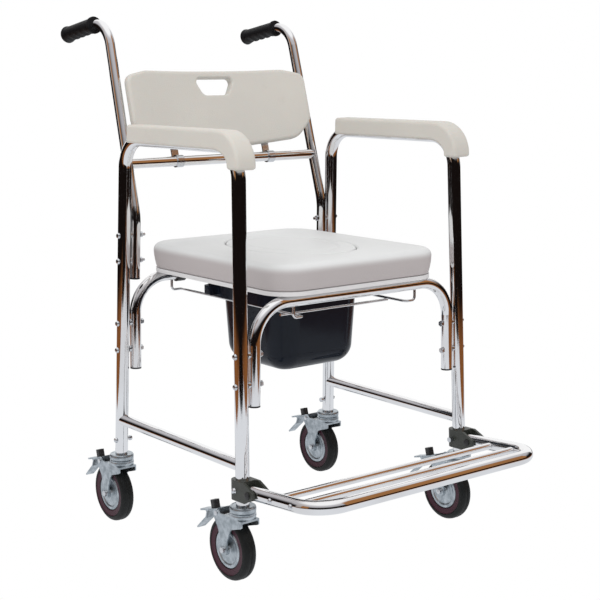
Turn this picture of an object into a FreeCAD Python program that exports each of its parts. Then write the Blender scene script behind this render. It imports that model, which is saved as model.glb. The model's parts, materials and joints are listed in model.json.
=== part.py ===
import FreeCAD, Part
import Sketcher
import math
import os

V = FreeCAD.Vector
Rotation = FreeCAD.Rotation
Placement = FreeCAD.Placement

# A wheeled commode chair. +Z up, the sitter faces -Y, -X is the sitter's right.
# Millimetres and degrees. The origin is on the floor, below the middle of the chair's box.

DIMENSIONS = [
    ("origin_shift", 10.2, "the leg feet's middle lies this far in front of the origin"),
    # side loops: front leg, arm and rear leg are one bent tube, leaning in towards the top
    ("loop_od", 25.0, "leg and arm tube diameter"),
    ("tube_wall", 1.2, "wall of every tube"),
    ("foot_plane", 142.0, "height at which the track and base are measured"),
    ("leg_cut", 5.0, "the legs end this far above the foot plane"),
    ("half_track", 266.0, "half the distance between left and right legs"),
    ("half_base", 206.4, "half the distance between front and rear legs"),
    ("lean", 1.1, "inward lean of each side"),
    ("arm_height", 628.0, "arm tube above the foot plane"),
    ("arm_front", 187.9, "front leg's distance at arm height"),
    ("arm_rear", 180.0, "rear leg's distance at arm height"),
    ("loop_bend", 58.0, "bend radius of the loop"),
    ("rail_height", 74.0, "side rail above the foot plane"),
    ("rail_od", 22.0, "side rail diameter"),
    # bows: inverted U tubes bolted inside the legs
    ("bow_od", 22.0, "bow tube diameter"),
    ("bow_offset", 28.5, "bow leg axis from leg axis"),
    ("bow_top", 496.0, "height of the bow's cross stretch"),
    ("bow_end", 320.0, "height of the bow's cut ends"),
    ("bow_bend", 70.0, "bend radius of the bow"),
    ("bow_bolt_low", 216.0, "lower bow bolt above the foot plane"),
    ("bow_bolt_high", 269.0, "upper bow bolt above the foot plane"),
    # push tubes and backrest
    ("push_od", 20.0, "push tube and back cross tube diameter"),
    ("push_offset", 25.0, "push tube axis from leg axis"),
    ("push_bolt_low", 392.0, "lower push tube bolt above the foot plane"),
    ("push_bolt_high", 442.0, "upper push tube bolt above the foot plane"),
    ("push_bend", 52.0, "bend radius below the grip"),
    ("cross_height", 577.0, "back cross tube above the foot plane"),
    ("panel_half_width", 218.0, "half width of the back panel"),
    ("panel_height", 160.0, "height of the back panel along its slope"),
    ("panel_thick", 20.0, "thickness of the back panel"),
    ("panel_sag", 23.0, "how far the panel's sides curve forward"),
    ("grip_length", 112.0, "grip length with its end cap"),
    ("grip_radius", 15.5, "grip outside radius"),
    ("armpad_width", 44.0, "armrest pad width"),
    # fasteners
    ("bolt_radius", 3.0, "frame bolt shank"),
    ("bolt_hole", 3.5, "bolt clearance hole radius"),
    ("bolt_length", 58.0, "frame bolt under its head"),
    # seat and bucket
    ("seat_half_x", 196.0, "half width of the seat pad"),
    ("seat_half_y", 226.0, "half depth of the seat pad"),
    ("seat_y", -2.0, "seat centre behind the legs' middle"),
    ("seat_corner", 60.0, "corner radius of the seat pad"),
    ("board_base", 507.3, "underside of the seat board"),
    ("pad_base", 515.0, "top of the seat board"),
    ("pad_top", 564.0, "top of the seat pad"),
    ("oval_x", 112.0, "half width of the oval opening"),
    ("oval_y", 150.0, "half length of the oval opening"),
    ("pot_half", 105.0, "half width of the bucket at its flange"),
    ("pot_base", 335.0, "underside of the bucket"),
    ("pot_flange", 467.8, "underside of the bucket's flange"),
    ("pot_rim", 501.0, "top of the bucket's rim"),
    ("rod_radius", 2.5, "bucket rail rod"),
    ("rod_rail_x", 124.0, "bucket rail from the middle"),
    ("rod_hang_x", 146.0, "where the rails hang from the bows"),
    ("rod_rail_z", 465.0, "height of the bucket rails"),
    # footrest
    ("foot_od", 25.0, "footrest tube diameter"),
    ("foot_reach", 171.0, "pivot to front tube"),
    ("foot_slope", 4.5, "rise of the footrest towards the front"),
    ("foot_bend", 55.0, "corner radius of the footrest tube"),
    ("foot_bar_od", 13.0, "tread bar diameter"),
    ("pivot_forward", 39.5, "footrest pivot in front of the leg axis"),
    ("pivot_up", 33.0, "footrest pivot above the foot plane"),
    # casters
    ("wheel_radius", 59.0, "tyre radius"),
    ("wheel_width", 28.0, "tyre width"),
    ("hub_radius", 36.0, "hub disc radius"),
    ("trail", 33.0, "wheel axle behind the swivel axis"),
    ("pedal_back", 55.0, "brake pedal hinge behind the swivel axis"),
    ("pedal_rise", 121.0, "brake pedal hinge above the floor"),
    ("race_radius", 23.5, "swivel race radius"),
]

doc = FreeCAD.newDocument("commode_chair")
sheet = doc.addObject("Spreadsheet::Sheet", "dims")
parts = []


def fill_sheet():
    for row, (alias, value, note) in enumerate(DIMENSIONS, start=1):
        sheet.set("A%d" % row, note)
        sheet.set("B%d" % row, str(value))
        sheet.setAlias("B%d" % row, alias)
    doc.recompute()


def dim(alias):
    return float(sheet.get(alias))


# ---- shared helpers -------------------------------------------------------------

def keep(obj, label, place=None):
    """Name a finished sub-part and set it in the chair's frame."""
    obj.Label = label
    place = place if place is not None else Placement()
    obj.Placement = Placement(V(0, -dim("origin_shift"), 0), Rotation()).multiply(place)
    parts.append(obj)
    return obj


def new_body(name):
    return doc.addObject("PartDesign::Body", name)


def new_sketch(body, name, role="XY_Plane"):
    sketch = body.newObject("Sketcher::SketchObject", name)
    plane = next(item for item in body.Origin.OriginFeatures if item.Role == role)
    sketch.AttachmentSupport = [(plane, "")]
    sketch.MapMode = "FlatFace"
    return sketch


def circle(sketch, x, y, radius):
    """A circle whose radius is bound to a sheet expression."""
    index = sketch.addGeometry(Part.Circle(V(x, y, 0), V(0, 0, 1), 1.0))
    sketch.addConstraint(Sketcher.Constraint("DistanceX", -1, 1, index, 3, x))
    sketch.addConstraint(Sketcher.Constraint("DistanceY", -1, 1, index, 3, y))
    number = sketch.addConstraint(Sketcher.Constraint("Radius", index, 1.0))
    sketch.setExpression("Constraints[%d]" % number, radius)


def corner(before, at, after, radius):
    """The start, middle and end of the arc that rounds one corner."""
    to_before = (before - at).normalize()
    to_after = (after - at).normalize()
    half = to_before.getAngle(to_after) / 2
    reach = radius / math.tan(half)
    middle = (to_before + to_after).normalize()
    crown = at + middle * (radius / math.sin(half) - radius)
    return at + to_before * reach, crown, at + to_after * reach


def edges_of(points, closed):
    """Lines through (x, y) or (x, y, radius) points, with an arc at each radius."""
    spots = [V(p[0], p[1], 0) for p in points]
    radii = [p[2] if len(p) > 2 else 0 for p in points]
    count = len(points)
    runs = []
    for i in range(count):
        inner = closed or 0 < i < count - 1
        if inner and radii[i] > 0:
            arc = corner(spots[i - 1], spots[i], spots[(i + 1) % count], radii[i])
        else:
            arc = (spots[i], None, spots[i])
        runs.append(arc)
    edges = []
    for i, (start, crown, end) in enumerate(runs):
        if crown is not None:
            edges.append(Part.Arc(start, crown, end))
        if closed or i < count - 1:
            following = runs[(i + 1) % count][0]
            if end.distanceToPoint(following) > 1e-6:
                edges.append(Part.LineSegment(end, following))
    return edges


def draw(sketch, points, closed=True):
    for edge in edges_of(points, closed):
        sketch.addGeometry(edge)


def rounded_box(half_x, half_y, radius, centre=(0, 0)):
    x, y = centre
    signs = [(1, 1), (-1, 1), (-1, -1), (1, -1)]
    return [(x + sx * half_x, y + sy * half_y, radius) for sx, sy in signs]


def pad(body, sketch, length, middle=False, reverse=False, taper=0):
    feature = body.newObject("PartDesign::Pad", "Pad")
    feature.Profile = sketch
    set_size(feature, "Length", length)
    feature.Midplane = middle
    feature.Reversed = reverse
    feature.TaperAngle = taper
    doc.recompute()
    return feature


def pocket(body, sketch, length=None, middle=False, reverse=False, taper=0):
    """Cut to a length, or through everything, and make sure that it cut."""
    before = body.Shape.Volume
    feature = body.newObject("PartDesign::Pocket", "Pocket")
    feature.Profile = sketch
    if length is None:
        feature.Type = "ThroughAll"
    else:
        set_size(feature, "Length", length)
    feature.Midplane = middle
    feature.Reversed = reverse
    feature.TaperAngle = taper
    doc.recompute()
    if body.Shape.Volume >= before - 1e-3:
        raise RuntimeError("pocket cut nothing in " + body.Name)
    return feature


def revolve(body, sketch):
    feature = body.newObject("PartDesign::Revolution", "Revolution")
    feature.Profile = sketch
    feature.ReferenceAxis = (sketch, ["V_Axis"])
    feature.Angle = 360.0
    doc.recompute()
    return feature


def set_size(obj, prop, size):
    """A size is a sheet expression when it is text, and a plain length otherwise."""
    if isinstance(size, str):
        obj.setExpression(prop, size)
    else:
        setattr(obj, prop, size)


def cylinder(radius, height, place, name="Cylinder"):
    obj = doc.addObject("Part::Cylinder", name)
    set_size(obj, "Radius", radius)
    set_size(obj, "Height", height)
    obj.Placement = place
    return obj


def box(length, width, height, place):
    obj = doc.addObject("Part::Box", "Box")
    set_size(obj, "Length", length)
    set_size(obj, "Width", width)
    set_size(obj, "Height", height)
    obj.Placement = place
    return obj


def fuse(shapes):
    obj = doc.addObject("Part::MultiFuse", "Fuse")
    obj.Shapes = shapes
    return obj


def cut(base, tools):
    obj = doc.addObject("Part::Cut", "Cut")
    obj.Base = base
    obj.Tool = tools[0] if len(tools) == 1 else fuse(tools)
    return obj


def spun(name, outline):
    """A body turned about Z from an (r, z) outline."""
    body = new_body(name)
    sketch = new_sketch(body, name + "_outline", "XZ_Plane")
    draw(sketch, outline)
    revolve(body, sketch)
    return body


def group(label, master_places):
    """Separate solids of one kind: each master's shape at each of its places."""
    doc.recompute()
    solids = []
    for master, places in master_places:
        for place in places:
            solid = master.Shape.copy()
            solid.Placement = place.multiply(solid.Placement)
            solids.append(solid)
    obj = doc.addObject("Part::Feature", label)
    obj.Shape = Part.makeCompound(solids)
    return keep(obj, label)


def shift(x=0, y=0, z=0):
    return Placement(V(x, y, z), Rotation())


def turn(axis, angle):
    return Placement(V(0, 0, 0), Rotation(axis, angle))


def chain(*places):
    total = Placement()
    for place in places:
        total = total.multiply(place)
    return total


def tube(name, points, outer, plane):
    """A bent tube along (y, z) points of a plane, and where it lies in that plane.

    The body's own Z runs along the first stretch, so its section is a true circle.
    """
    first = V(points[1][0] - points[0][0], points[1][1] - points[0][1], 0)
    angle = math.degrees(math.atan2(first.x, first.y))
    place = chain(shift(0, points[0][0], points[0][1]), turn(V(1, 0, 0), -angle))
    back = place.inverse()
    local = []
    for point in points:
        spot = back.multVec(V(0, point[0], point[1]))
        local.append((spot.y, spot.z) + tuple(point[2:]))
    body = new_body(name)
    section = new_sketch(body, name + "_section")
    circle(section, 0, 0, outer + " / 2")
    circle(section, 0, 0, outer + " / 2 - dims.tube_wall")
    path = new_sketch(body, name + "_path", "YZ_Plane")
    draw(path, local, closed=False)
    pipe = body.newObject("PartDesign::AdditivePipe", name + "_pipe")
    pipe.Profile = section
    pipe.Spine = path
    doc.recompute()
    body.Placement = chain(plane, place)
    return body


# ---- frames of reference --------------------------------------------------------

def side_frame(side):
    """Each side's own frame: its Y and Z hold the loop, leaning in with height."""
    base = shift(side * dim("half_track"), 0, dim("foot_plane"))
    return chain(base, turn(V(0, 1, 0), -side * dim("lean")))


def leg_slope(end):
    arm = dim("arm_front") if end < 0 else dim("arm_rear")
    return (arm - dim("half_base")) * end / dim("arm_height")


def leg_y(end, height):
    """The leg axis in the side's frame; end is -1 at the front and 1 at the rear."""
    return end * dim("half_base") + leg_slope(end) * height


def leg_frame(side, end):
    """A frame whose Z is the leg's axis, from the foot plane."""
    rake = math.degrees(math.atan(leg_slope(end)))
    return chain(side_frame(side), shift(0, end * dim("half_base"), 0), turn(V(1, 0, 0), -rake))


def bolt_frame(side, y, height):
    """A bolt's frame in a side: Z points outwards, with its foot on the leg's outer line."""
    outward = turn(V(0, 1, 0), 90 * side)
    return chain(side_frame(side), shift(side * dim("loop_od") / 2, y, height), outward)


def bow_bolts(side, end):
    heights = (dim("bow_bolt_low"), dim("bow_bolt_high"))
    return [bolt_frame(side, leg_y(end, height), height) for height in heights]


def push_bolts(side):
    heights = (dim("push_bolt_low"), dim("push_bolt_high"))
    return [bolt_frame(side, leg_y(1, height), height) for height in heights]


def stem_bolts(side, end):
    height = dim("pivot_up")
    return [bolt_frame(side, leg_y(end, height), height)]


SIDES = (("left", 1), ("right", -1))
ENDS = (("front", -1), ("rear", 1))


def drills(places):
    """Clearance holes along bolt axes, right across the tubes."""
    reach = 80
    return [cylinder("dims.bolt_hole", reach, chain(place, shift(0, 0, 10 - reach)))
            for place in places]


# ---- frame tubes ----------------------------------------------------------------

def loop_points(low):
    bend = dim("loop_bend")
    top = dim("arm_height")
    return [(leg_y(-1, low), low), (-dim("arm_front"), top, bend),
            (dim("arm_rear"), top, bend), (leg_y(1, low), low)]


def make_side_loop(name, side):
    body = tube(name + "_loop_tube", loop_points(dim("leg_cut")), "dims.loop_od", side_frame(side))
    places = push_bolts(side)
    for _, end in ENDS:
        places += bow_bolts(side, end) + stem_bolts(side, end)
    keep(cut(body, drills(places)), name + "_side_loop")


def straight_tube(outer, half_length, place, copes):
    """A straight tube along X, with its ends shaped to the tubes that it is welded to."""
    lie = chain(place, shift(-half_length), turn(V(0, 1, 0), 90))
    body = cylinder(outer + " / 2", 2 * half_length, lie)
    bore = cylinder(outer + " / 2 - dims.tube_wall", 2 * half_length, lie)
    return cut(body, [bore] + copes)


def make_side_rail(name, side):
    along = chain(shift(0, 0, dim("rail_height")), turn(V(0, 0, 1), 90))
    copes = []
    for _, end in ENDS:
        rake = math.degrees(math.atan(leg_slope(end)))
        leg = chain(shift(0, end * dim("half_base"), 0), turn(V(1, 0, 0), -rake))
        copes.append(cylinder("dims.loop_od / 2 + 0.02", 200, leg))
    half = dim("half_base") - 2
    rail = straight_tube("dims.rail_od", half, along, copes)
    keep(rail, name + "_side_rail", side_frame(side))


def bow_leg_x(height):
    """The bow's leg runs beside the chair's leg; height is above the floor."""
    drop = math.tan(math.radians(dim("lean"))) * (height - dim("foot_plane"))
    return dim("half_track") - drop - dim("bow_offset")


def bow_y(end):
    return leg_y(end, (dim("bow_bolt_low") + dim("bow_bolt_high")) / 2)


def make_bow(name, end):
    low = dim("bow_end")
    top = dim("bow_top")
    bend = dim("bow_bend")
    points = [(-bow_leg_x(low), low), (-bow_leg_x(top), top, bend),
              (bow_leg_x(top), top, bend), (bow_leg_x(low), low)]
    plane = chain(shift(0, bow_y(end), 0), turn(V(0, 0, 1), -90))
    body = tube(name + "_bow_tube", points, "dims.bow_od", plane)
    places = [place for _, side in SIDES for place in bow_bolts(side, end)]
    keep(cut(body, drills(places)), name + "_bow")


def push_points():
    """The push tube in its side's plane: beside the leg, tilted back, then the grip."""
    low = dim("bow_top") + 4 - dim("foot_plane")
    knee = 478.0
    back_tilt = 0.2726
    top = 851.8
    start = leg_y(1, low)
    knee_y = leg_y(1, knee) + 0.5
    top_y = knee_y + back_tilt * (top - knee)
    return [(start, low), (knee_y, knee, 120), (top_y, top, dim("push_bend")),
            (top_y + 152.5, top - 23.5)]


def push_plane(side):
    return chain(side_frame(side), shift(-side * dim("push_offset"), 0, 0))


def back_frame():
    """The backrest's frame: Z along the push tubes' slope, -Y towards the sitter."""
    (_, _), knee, top, _ = push_points()
    tilt = math.degrees(math.atan2(top[0] - knee[0], top[1] - knee[1]))
    height = 674.0
    y = knee[0] + (top[0] - knee[0]) * (height - knee[1]) / (top[1] - knee[1])
    return chain(shift(0, y, dim("foot_plane") + height), turn(V(1, 0, 0), -tilt))


def make_push_tube(name, side):
    body = tube(name + "_push_pipe", push_points(), "dims.push_od", push_plane(side))
    keep(cut(body, drills(push_bolts(side))), name + "_push_tube")


def cross_drop():
    """The cross tube's place along the backrest's slope."""
    rise = dim("foot_plane") + dim("cross_height") - back_frame().Base.z
    return rise / math.cos(math.radians(abs(back_frame().Rotation.Angle * 180 / math.pi)))


def push_copes():
    """The push tubes' straight runs in the backrest's frame, a little oversize, as cutting tools."""
    copes = []
    half = dim("half_track") - dim("push_offset")
    lean = math.tan(math.radians(dim("lean")))
    height = back_frame().Base.z - dim("foot_plane")
    slope = math.degrees(math.atan(lean * math.cos(back_frame().Rotation.Angle)))
    for _, side in SIDES:
        stand = shift(side * (half - lean * height), 0, 0)
        upright = turn(V(0, 1, 0), -side * slope)
        run = chain(stand, upright, shift(0, 0, -200))
        copes.append(cylinder("dims.push_od / 2 + 0.2", 400, run))
    return copes


def make_cross_tube():
    copes = push_copes()
    lean = math.tan(math.radians(dim("lean")))
    half_length = dim("half_track") - dim("push_offset") - lean * dim("cross_height")
    body = straight_tube("dims.push_od", half_length, shift(0, 0, cross_drop()), copes)
    keep(body, "back_cross_tube", back_frame())


# ---- fasteners and plugs --------------------------------------------------------

def all_bolt_places():
    bows = [place for _, side in SIDES for _, end in ENDS for place in bow_bolts(side, end)]
    pushes = [place for _, side in SIDES for place in push_bolts(side)]
    return bows, pushes


def make_fasteners():
    bows, pushes = all_bolt_places()
    shank = dim("bolt_radius")
    length = dim("bolt_length")
    bolt = spun("frame_bolt", [(0, 4), (4, 3.4), (5.6, 0), (shank, 0), (shank, -length), (0, -length)])
    group("frame_bolts", [(bolt, bows + pushes)])
    nut_body = new_body("frame_nut")
    sketch = new_sketch(nut_body, "frame_nut_outline")
    hexagon = [(5.7 * math.cos(math.radians(a)), 5.7 * math.sin(math.radians(a)))
               for a in range(0, 360, 60)]
    draw(sketch, hexagon)
    circle(sketch, 0, 0, "dims.bolt_radius + 0.02")
    pad(nut_body, sketch, 5.0)
    bow_depth = dim("loop_od") / 2 + dim("bow_offset") + dim("bow_od") / 2
    push_depth = dim("loop_od") / 2 + dim("push_offset") + dim("push_od") / 2
    nut_places = [chain(place, shift(0, 0, -bow_depth - 5.02)) for place in bows]
    nut_places += [chain(place, shift(0, 0, -push_depth - 5.02)) for place in pushes]
    group("frame_nuts", [(nut_body, nut_places)])
    gaps = (("bow_spacer", dim("bow_offset") - dim("bow_od") / 2, bows),
            ("push_spacer", dim("push_offset") - dim("push_od") / 2, pushes))
    kinds = []
    for name, reach, places in gaps:
        thick = reach - dim("loop_od") / 2
        hole = dim("bolt_hole")
        ring = spun(name, [(hole, 0), (6, 0), (6, thick), (hole, thick)])
        kinds.append((ring, [chain(place, shift(0, 0, -dim("loop_od") - thick)) for place in places]))
    group("frame_spacers", kinds)


def make_end_plugs():
    """Caps pressed into the open lower ends of the bows and push tubes."""
    kinds = []
    bow_ends = [bow_end_frame(side, end) for _, side in SIDES for _, end in ENDS]
    push_ends = [push_end_frame(side) for _, side in SIDES]
    for name, outer, places in (("bow_plug", dim("bow_od"), bow_ends),
                                ("push_plug", dim("push_od"), push_ends)):
        bore = outer / 2 - dim("tube_wall") - 0.1
        rim = outer / 2
        plug = spun(name, [(0, 12), (bore, 12), (bore, -0.05), (rim, -0.05), (rim, -3), (0, -3)])
        kinds.append((plug, places))
    group("tube_end_plugs", kinds)


def bow_end_frame(side, end):
    low = dim("bow_end")
    return chain(shift(side * bow_leg_x(low), bow_y(end), low), turn(V(0, 1, 0), -side * dim("lean")))


def push_end_frame(side):
    start = push_points()[0]
    rake = math.degrees(math.atan(leg_slope(1)))
    return chain(push_plane(side), shift(0, start[0], start[1]), turn(V(1, 0, 0), -rake))


# ---- backrest and armrests ------------------------------------------------------

def panel_arc(half, forward, sag):
    """Points of a shallow arc, forward of the tubes by `forward` in the middle."""
    return [V(-half, -forward - sag, 0), V(0, -forward, 0), V(half, -forward - sag, 0)]


def make_back_panel():
    half = dim("panel_half_width")
    height = dim("panel_height")
    thick = dim("panel_thick")
    sag = dim("panel_sag")
    rear = -12.0
    body = new_body("back_panel_body")
    plan = new_sketch(body, "back_panel_plan")
    inner = panel_arc(half, rear, sag)
    outer = panel_arc(half, rear + thick, sag)
    plan.addGeometry(Part.Arc(*inner))
    plan.addGeometry(Part.Arc(*outer))
    plan.addGeometry(Part.LineSegment(inner[0], outer[0]))
    plan.addGeometry(Part.LineSegment(inner[2], outer[2]))
    pad(body, plan, "dims.panel_height", middle=True)
    trim = new_sketch(body, "back_panel_trim", "XZ_Plane")
    tall = height / 2
    draw(trim, rounded_box(half + 20, tall + 20, 0))
    draw(trim, [(half, tall - 12, 20), (half - 50, tall, 60), (0, tall + 0.5, 0), (-half + 50, tall, 60),
                (-half, tall - 12, 20), (-half - 1, -tall + 48, 30), (-half + 36, -tall + 12, 40),
                (0, -tall - 0.5, 0), (half - 36, -tall + 12, 40), (half + 1, -tall + 48, 30)])
    pocket(body, trim, middle=True)
    hand = new_sketch(body, "hand_hole", "XZ_Plane")
    draw(hand, [(50, 66, 9), (-50, 66, 9), (-30, 30, 16), (30, 30, 16)])
    pocket(body, hand, middle=True)
    keep(cut(body, screw_holes()), "back_panel", back_frame())


def panel_rear_gap(x):
    """How far the panel's rear face lies in front of the push tubes' plane at x."""
    return -12.0 + dim("panel_sag") * (x / dim("panel_half_width")) ** 2


def bracket_places():
    x = 113.0
    return [(side * x, panel_rear_gap(x)) for _, side in SIDES]


def make_panel_brackets():
    """Two clips round the cross tube, each with a tab that rises behind the panel's foot."""
    wide = 16.0
    thick = 3.0
    clips = []
    for x, gap in bracket_places():
        start = shift(x - wide / 2, 0, cross_drop())
        band = cylinder("dims.push_od / 2 + 2.4", wide, chain(start, turn(V(0, 1, 0), 90)))
        tab = box(wide, thick, 42, chain(start, shift(0, -gap + 1.6, 3)))
        clips += [band, tab]
    along = chain(shift(-300, 0, cross_drop()), turn(V(0, 1, 0), 90))
    bore = cylinder("dims.push_od / 2 + 0.02", 600, along)
    keep(cut(fuse(clips), [bore] + screw_holes()), "back_panel_brackets", back_frame())


def panel_screw_places():
    """Each panel screw's seat on a tab's rear face, its axis towards the rear."""
    back = turn(V(1, 0, 0), -90)
    return [chain(shift(x, -gap + 4.65, cross_drop() + 36), back) for x, gap in bracket_places()]


def screw_holes():
    return [cylinder(2.45, 12, chain(place, shift(0, 0, -11))) for place in panel_screw_places()]


def make_panel_screws():
    """Screws through the clips' tabs into the panel."""
    screw = spun("panel_screw", [(0, 3), (3, 2.4), (5, 0), (2.4, 0), (2.4, -9), (0, -9)])
    group("back_panel_screws", [(screw, [chain(back_frame(), place) for place in panel_screw_places()])])


def make_armrest(name, side):
    """A moulded pad over the arm and the front bend, open below for the tube."""
    low = dim("arm_height") - 6
    top = dim("arm_height") + 28
    front = -dim("arm_front") - 25
    foot = dim("arm_height") - 38
    rear = 145
    body = new_body(name + "_armrest_body")
    sketch = new_sketch(body, name + "_armrest_outline", "YZ_Plane")
    draw(sketch, [(rear, low, 3), (rear, top, 12), (front, top, 62), (front - 1, foot, 4),
                  (front + 30, foot, 3), (front + 38, low, 12)])
    pad(body, sketch, "dims.armpad_width", middle=True)
    channel = new_body(name + "_armrest_channel")
    section = new_sketch(channel, name + "_channel_section")
    circle(section, 0, 0, "dims.loop_od / 2 + 0.05")
    points = loop_points(0)
    local_frame = chain(shift(0, points[0][0], 0),
                        turn(V(1, 0, 0), -math.degrees(math.atan(leg_slope(-1)))))
    back = local_frame.inverse()
    local = []
    for point in points:
        spot = back.multVec(V(0, point[0], point[1]))
        local.append((spot.y, spot.z) + tuple(point[2:]))
    path = new_sketch(channel, name + "_channel_path", "YZ_Plane")
    draw(path, local, closed=False)
    pipe = channel.newObject("PartDesign::AdditivePipe", name + "_channel_pipe")
    pipe.Profile = section
    pipe.Spine = path
    doc.recompute()
    channel.Placement = local_frame
    keep(cut(body, [channel]), name + "_armrest_pad", side_frame(side))


def make_grip(name, side):
    """A sleeve over the push tube's end, with a collar at its mouth and a closed end."""
    tube_end = push_points()[3]
    before = push_points()[2]
    fall = math.degrees(math.atan2(tube_end[1] - before[1], tube_end[0] - before[0]))
    bore = dim("push_od") / 2 + 0.02
    outer = dim("grip_radius")
    length = dim("grip_length")
    cap = 5.0
    flare = outer + 2.0
    grip = spun(name + "_grip_body", [(0, cap), (flare - 2, cap, 2), (flare, -2, 3), (outer, -11, 4),
                                      (outer, cap - length + 6),
                                      (outer + 1.5, cap - length + 5), (outer + 1.5, cap - length),
                                      (bore, cap - length), (bore, 0.05), (0, 0.05)])
    along = chain(push_plane(side), shift(0, tube_end[0], tube_end[1]), turn(V(1, 0, 0), fall - 90))
    keep(grip, name + "_grip", along)


# ---- bucket rails ---------------------------------------------------------------

def rod(points, bend, radius):
    """A round rod along 3-D points, with an arc at each inner one."""
    arcs = [corner(points[i - 1], points[i], points[i + 1], bend) for i in range(1, len(points) - 1)]
    edges = []
    here = points[0]
    for start, crown, end in arcs:
        edges.append(Part.LineSegment(here, start).toShape())
        edges.append(Part.Arc(start, crown, end).toShape())
        here = end
    edges.append(Part.LineSegment(here, points[-1]).toShape())
    wire = Part.Wire(edges)
    direction = (points[1] - points[0]).normalize()
    ring = Part.Wire(Part.makeCircle(radius, points[0], direction))
    return wire.makePipeShell([ring], True, False)


def make_bucket_rails():
    """Two rods that hang from the bows, one on each side of the bucket."""
    radius = dim("rod_radius")
    under = dim("bow_top") - dim("bow_od") / 2 - 0.05
    level = dim("rod_rail_z")
    solids = []
    for _, side in SIDES:
        out = side * dim("rod_hang_x")
        rail = side * dim("rod_rail_x")
        rear = bow_y(1)
        front = bow_y(-1)
        points = [V(out, rear, under), V(out, rear, level), V(rail, rear, level),
                  V(rail, front, level), V(out, front, level), V(out, front, under)]
        solids.append(rod(points, 7.0, radius))
    obj = doc.addObject("Part::Feature", "bucket_rails")
    obj.Shape = Part.makeCompound(solids)
    keep(obj, "bucket_rails")


def make_rail_bar():
    """A rod welded under both rails in front of the bucket."""
    half = dim("rod_rail_x") + 6
    drop = dim("rod_rail_z") - 2 * dim("rod_radius") - 0.02
    bar = cylinder("dims.rod_radius", 2 * half, Placement())
    keep(bar, "rail_cross_bar", chain(shift(-half, -140, drop), turn(V(0, 1, 0), 90)))


# ---- seat and bucket ------------------------------------------------------------

def ellipse(sketch, half_x, half_y, centre_y):
    long_axis = V(0, centre_y + half_y, 0)
    sketch.addGeometry(Part.Ellipse(long_axis, V(half_x, centre_y, 0), V(0, centre_y, 0)))


def seat_slab(name, inset, base, height, hole):
    body = new_body(name)
    outline = new_sketch(body, name + "_outline")
    draw(outline, rounded_box(dim("seat_half_x") - inset, dim("seat_half_y") - inset,
                              dim("seat_corner") - inset, (0, dim("seat_y"))))
    ellipse(outline, hole[0], hole[1], dim("seat_y"))
    pad(body, outline, height)
    return body, shift(0, 0, base)


def edges_at(shape, height, tolerance=1e-3):
    """Names of the edges that lie flat at one height."""
    names = []
    for i, edge in enumerate(shape.Edges, start=1):
        bounds = edge.BoundBox
        if abs(bounds.ZMin - height) < tolerance and abs(bounds.ZMax - height) < tolerance:
            names.append("Edge%d" % i)
    return names


def fillet(body, feature, names, radius):
    rounding = body.newObject("PartDesign::Fillet", "Fillet")
    rounding.Base = (feature, names)
    rounding.Radius = radius
    doc.recompute()
    return rounding


def make_seat():
    board, place = seat_slab("seat_board_body", 4, dim("board_base"),
                             "dims.pad_base - dims.board_base", (95, 105))
    keep(board, "seat_board", place)
    cushion, place = seat_slab("seat_pad_body", 0, dim("pad_base"),
                               "dims.pad_top - dims.pad_base", (dim("oval_x"), dim("oval_y")))
    top = cushion.Tip
    reach = dim("oval_x") + 20
    outer = [name for name in edges_at(cushion.Shape, dim("pad_top") - dim("pad_base"))
             if abs(cushion.Shape.getElement(name).CenterOfMass.x) > reach
             or abs(cushion.Shape.getElement(name).CenterOfMass.y - dim("seat_y")) > dim("oval_y") + 20]
    fillet(cushion, top, outer, 14.0)
    keep(cushion, "seat_pad", place)
    plug = new_body("seat_plug_body")
    outline = new_sketch(plug, "seat_plug_outline")
    gap = 1.5
    ellipse(outline, dim("oval_x") - gap, dim("oval_y") - gap, dim("seat_y"))
    pad(plug, outline, "dims.pad_top - dims.pad_base - 0.8")
    keep(plug, "seat_plug", shift(0, 0, dim("pad_base") + 0.3))


def make_seat_clips():
    """Straps under the board that hold the rear bow, so that the seat tips up about it."""
    inner = dim("bow_od") / 2 + 0.35
    outer = inner + 3.5
    wide = 18.0
    foot = 12.0
    rise = dim("board_base") - dim("bow_top") - 0.02
    clips = []
    for _, side in SIDES:
        spot = shift(side * 128 - wide / 2, bow_y(1), dim("bow_top"))
        lie = chain(spot, turn(V(0, 1, 0), 90))
        above = box(wide, 60, 30, chain(spot, shift(0, -30, rise)))
        feet = [box(wide, foot, 3, chain(spot, shift(0, y, rise - 3))) for y in (9, -9 - foot)]
        clips.append(cut(fuse([cylinder(outer, wide, lie)] + feet), [cylinder(inner, wide, lie), above]))
    keep(fuse(clips), "seat_clips")


def pot_shape(name, half, corner_radius, depth, rounding):
    """A tapered pot, closed at its rounded foot, hanging from the XY plane."""
    body = new_body(name)
    outline = new_sketch(body, name + "_outline")
    draw(outline, rounded_box(half, half, corner_radius))
    pad(body, outline, depth, reverse=True, taper=-4)
    fillet(body, body.Tip, edges_at(body.Shape, -depth), rounding)
    return body


def slab(body, name, height, base, half_x, half_y, corner_radius):
    """A rounded slab added to a body above its XY plane."""
    outline = new_sketch(body, name)
    outline.AttachmentOffset = shift(0, 0, base)
    draw(outline, rounded_box(half_x, half_y, corner_radius))
    pad(body, outline, height)


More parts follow.
